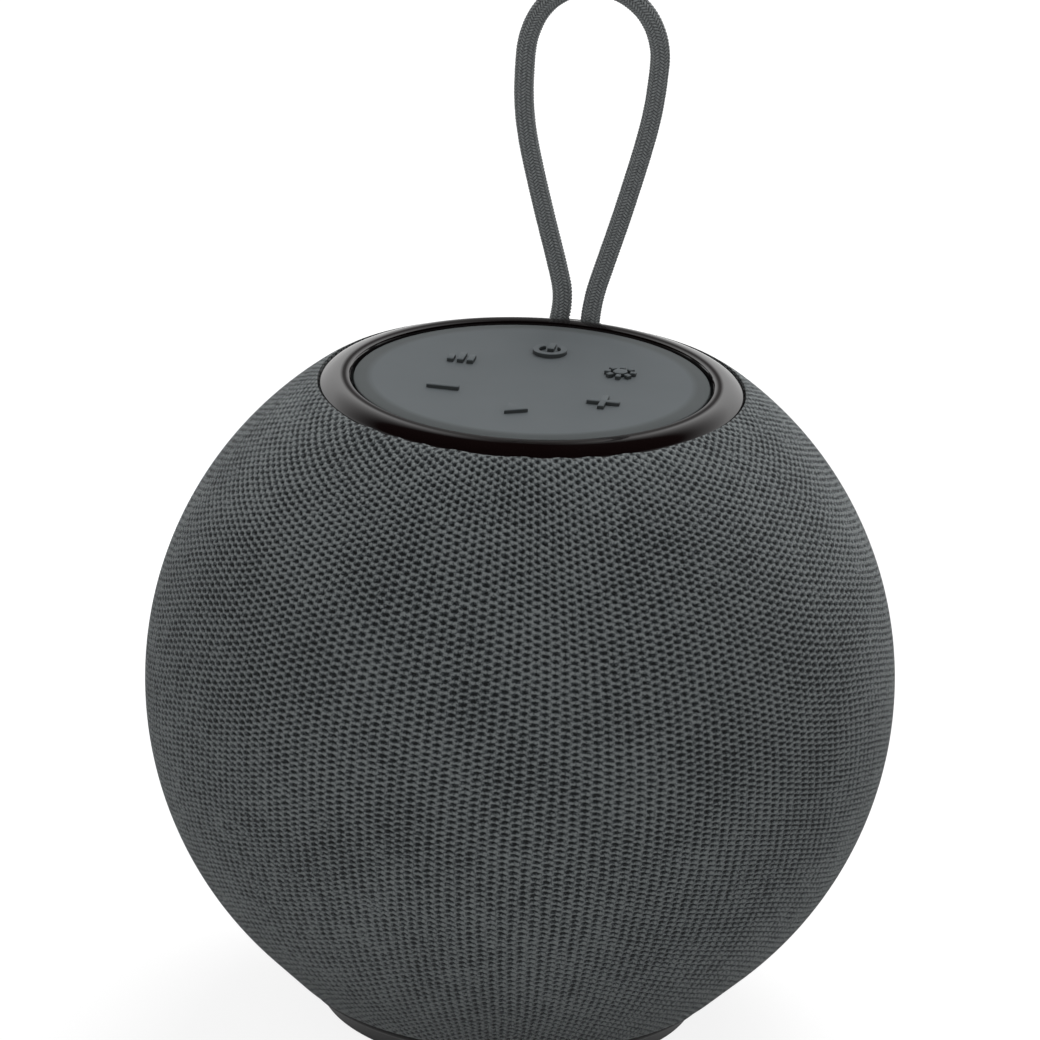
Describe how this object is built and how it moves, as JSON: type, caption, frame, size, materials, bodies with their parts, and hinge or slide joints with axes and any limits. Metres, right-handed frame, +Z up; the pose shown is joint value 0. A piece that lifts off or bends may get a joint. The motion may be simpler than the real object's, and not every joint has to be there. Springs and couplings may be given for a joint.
{
  "type": "pod speaker",
  "caption": "Round fabric covered pod speaker with a gloss ring, a soft key pad on top, a lanyard loop and a low base cup.",
  "frame": {"origin": "on the table under the ball's centre, in the plane of the foot ring's underside", "axes": "+Z up, -Y to the front that the key marks face, +Y to the lanyard and the charging port"},
  "size_m": [0.12, 0.12, 0.1617],
  "materials": {
    "knit_fabric": "knitted mesh",
    "gloss_bezel": "gloss",
    "pad_silicone": "matte",
    "braided_cord": "braided",
    "base_plastic": "satin",
    "foot_rubber": "matte",
    "shell_plastic": "moulded",
    "plated_steel": "zinc plated",
    "painted_steel": "black paint",
    "board_laminate": "solder mask",
    "component_black": "moulded",
    "connector_plastic": "moulded",
    "seal_foam": "foam",
    "surround_rubber": "moulded",
    "cone_paper": "pressed",
    "coil_aluminium": "plain",
    "coil_copper": "enamelled wire",
    "spider_cloth": "resin dipped",
    "ferrite": "pressed",
    "cell_wrap": "shrink sleeve",
    "strap_plastic": "moulded"
  },
  "bodies": {
    "housing": {"fabric_sleeve": "knit_fabric", "front_shell": "shell_plastic", "rear_shell": "shell_plastic", "shell_screws": "plated_steel", "top_bezel": "gloss_bezel", "bezel_screws": "plated_steel", "control_pad": "pad_silicone", "pad_plate": "shell_plastic", "control_board": "board_laminate", "control_board_screws": "plated_steel", "switch_bodies": "component_black", "lanyard_block": "base_plastic", "lanyard_cord": "braided_cord", "base_cup": "base_plastic", "base_screws": "plated_steel", "foot_ring": "foot_rubber", "driver_basket": "painted_steel", "driver_gasket": "seal_foam", "driver_screws": "plated_steel", "driver_surround": "surround_rubber", "driver_spider": "spider_cloth", "driver_top_plate": "plated_steel", "driver_magnet": "ferrite", "driver_yoke": "plated_steel", "radiator_frame": "shell_plastic", "radiator_surround": "surround_rubber", "radiator_screws": "plated_steel", "port_panel": "base_plastic", "usb_socket": "plated_steel", "port_board": "board_laminate", "port_board_screws": "plated_steel", "main_board": "board_laminate", "main_board_screws": "plated_steel", "radio_module": "plated_steel", "amplifier_chip": "component_black", "power_inductors": "component_black", "filter_capacitors": "coil_aluminium", "board_connectors": "connector_plastic", "battery_cell": "cell_wrap", "battery_cradle": "shell_plastic", "battery_strap": "strap_plastic"},
    "voice_assembly": {"driver_cone": "cone_paper", "driver_dust_cap": "cone_paper", "coil_former": "coil_aluminium", "voice_coil": "coil_copper"},
    "radiator": {"radiator_plate": "painted_steel"},
    "power_key": {"power_plunger": "component_black"},
    "light_key": {"light_plunger": "component_black"},
    "plus_key": {"plus_plunger": "component_black"},
    "play_key": {"play_plunger": "component_black"},
    "minus_key": {"minus_plunger": "component_black"},
    "mode_key": {"mode_plunger": "component_black"}
  },
  "joints": [
    {"name": "voice_travel", "type": "slide", "parent": "housing", "child": "voice_assembly", "axis": [0, -1, 0], "range_m": [-0.002, 0.002], "stiffness_N_per_m": 900, "deforming": ["driver_surround", "driver_spider"]},
    {"name": "radiator_travel", "type": "slide", "parent": "housing", "child": "radiator", "axis": [0, 1, 0], "range_m": [-0.003, 0.003], "stiffness_N_per_m": 700, "deforming": ["radiator_surround"]},
    {"name": "power_press", "type": "slide", "parent": "housing", "child": "power_key", "axis": [0, 0, -1], "range_m": [0, 0.00025], "stiffness_N_per_m": 6400},
    {"name": "light_press", "type": "slide", "parent": "housing", "child": "light_key", "axis": [0, 0, -1], "range_m": [0, 0.00025], "stiffness_N_per_m": 6400},
    {"name": "plus_press", "type": "slide", "parent": "housing", "child": "plus_key", "axis": [0, 0, -1], "range_m": [0, 0.00025], "stiffness_N_per_m": 6400},
    {"name": "play_press", "type": "slide", "parent": "housing", "child": "play_key", "axis": [0, 0, -1], "range_m": [0, 0.00025], "stiffness_N_per_m": 6400},
    {"name": "minus_press", "type": "slide", "parent": "housing", "child": "minus_key", "axis": [0, 0, -1], "range_m": [0, 0.00025], "stiffness_N_per_m": 6400},
    {"name": "mode_press", "type": "slide", "parent": "housing", "child": "mode_key", "axis": [0, 0, -1], "range_m": [0, 0.00025], "stiffness_N_per_m": 6400}
  ]
}
